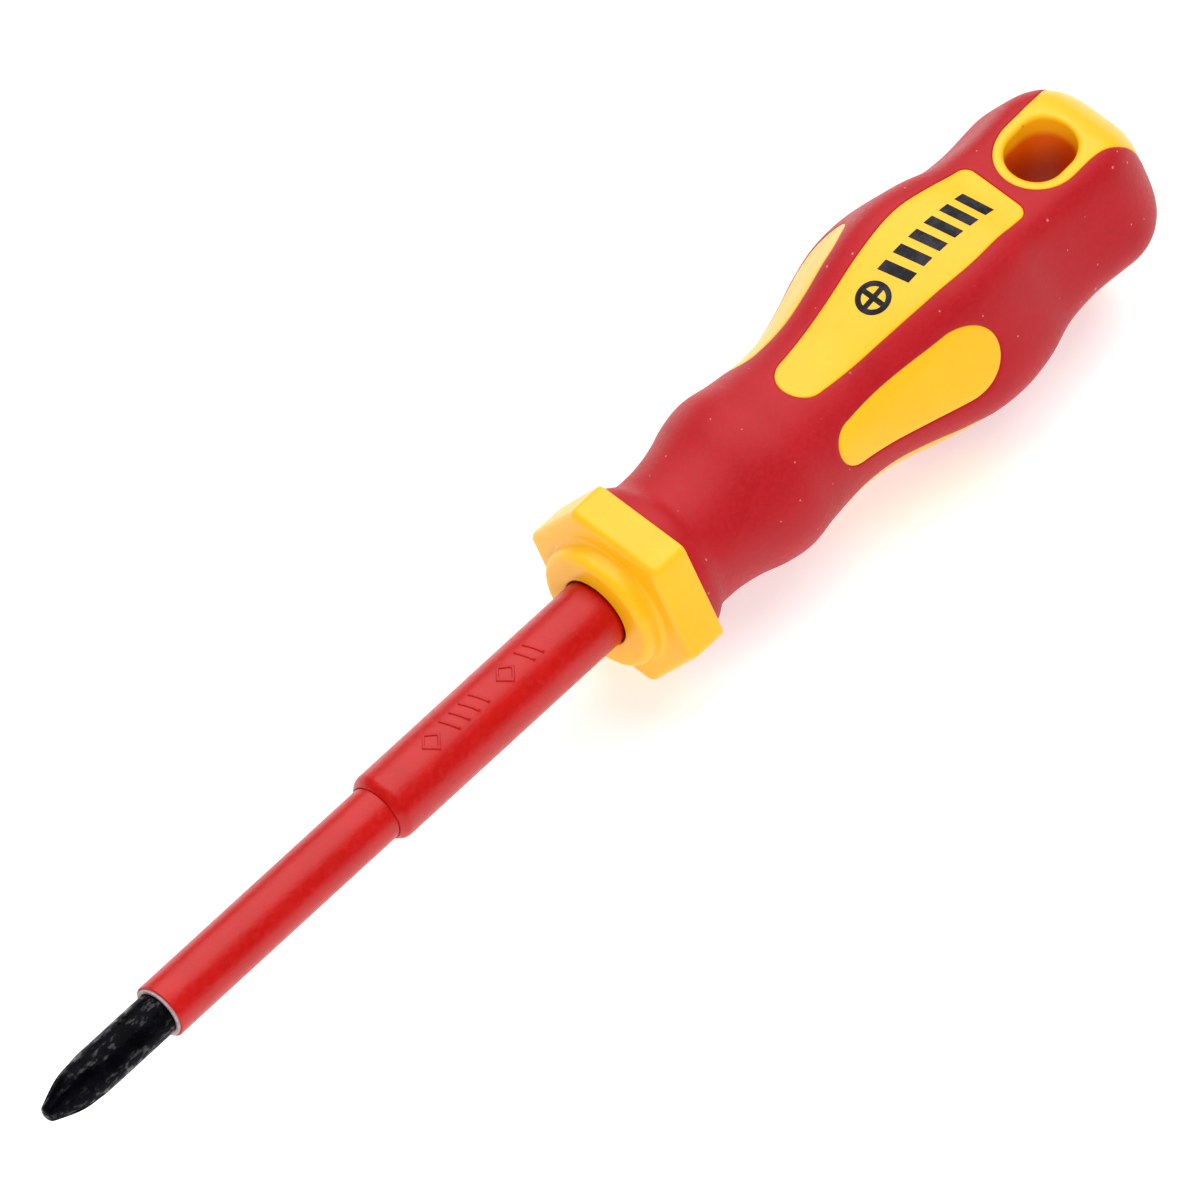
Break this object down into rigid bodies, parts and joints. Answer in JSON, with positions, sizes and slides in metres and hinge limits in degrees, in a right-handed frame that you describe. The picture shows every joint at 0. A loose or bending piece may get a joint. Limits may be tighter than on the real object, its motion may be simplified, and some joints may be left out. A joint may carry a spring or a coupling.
{
  "type": "insulated screwdriver",
  "caption": "Insulated cross-point screwdriver with a stepped red sleeve, a hexagonal collar and a contoured two-material handle with a hang hole.",
  "frame": {"origin": "centre of the blade's tip, on the tool's axis", "axes": "+X from the tip to the tail along the tool's axis, +Z out of the label panel and along the hang hole, so the screwdriver lies along X"},
  "size_m": [0.196, 0.0332, 0.0304],
  "materials": {
    "blade_steel": "black oxide finish on tool steel",
    "liner_plastic": "natural plastic",
    "sleeve_red": "satin moulded plastic",
    "core_plastic": "plain moulded plastic, out of sight",
    "body_yellow": "satin moulded plastic",
    "grip_red": "matte soft-touch overmould",
    "print_black": "printed ink"
  },
  "bodies": {
    "root": {"blade": "blade_steel", "inner_insulation": "liner_plastic", "slim_sleeve": "sleeve_red", "outer_sleeve": "sleeve_red", "tang_core": "core_plastic", "handle_body": "body_yellow", "soft_grip": "grip_red", "label_print": "print_black"}
  },
  "joints": []
}
